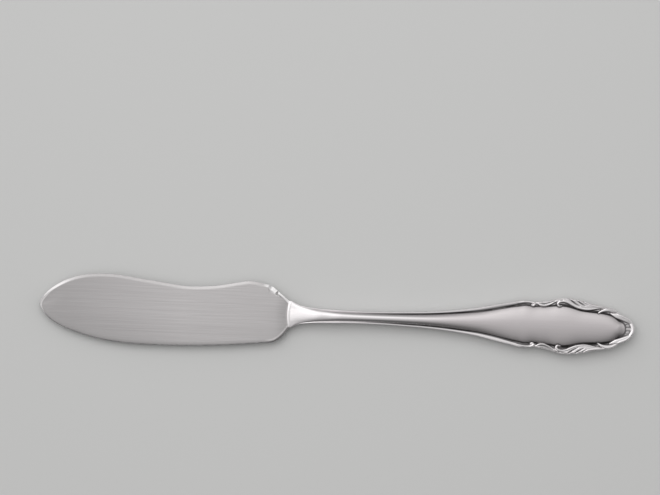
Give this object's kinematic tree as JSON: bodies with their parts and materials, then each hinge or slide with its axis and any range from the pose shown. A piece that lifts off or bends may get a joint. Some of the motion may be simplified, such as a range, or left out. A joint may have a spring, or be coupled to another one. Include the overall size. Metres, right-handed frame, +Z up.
{
  "type": "butter knife",
  "caption": "Butter knife with a broad round-ended spreading blade and a slender hollow handle that swells to a scroll-bordered end.",
  "frame": {"origin": "on the table under the middle of the knife's box, the knife lying on its back", "axes": "+X from the blade's tip towards the handle's end, +Y towards the blade's spine, +Z up out of the handle's front"},
  "size_m": [0.175, 0.0202, 0.0048],
  "materials": {
    "blade_steel": "stainless steel, brushed lengthwise to a satin",
    "handle_silver": "silver plate on nickel silver, satin field with a polished border",
    "cement": "dull resin cement",
    "solder": "filed silver solder"
  },
  "bodies": {
    "root": {"blade": "blade_steel", "ferrule": "handle_silver", "front_shell": "handle_silver", "back_shell": "handle_silver", "cement_core": "cement", "solder_seam": "solder"}
  },
  "joints": []
}
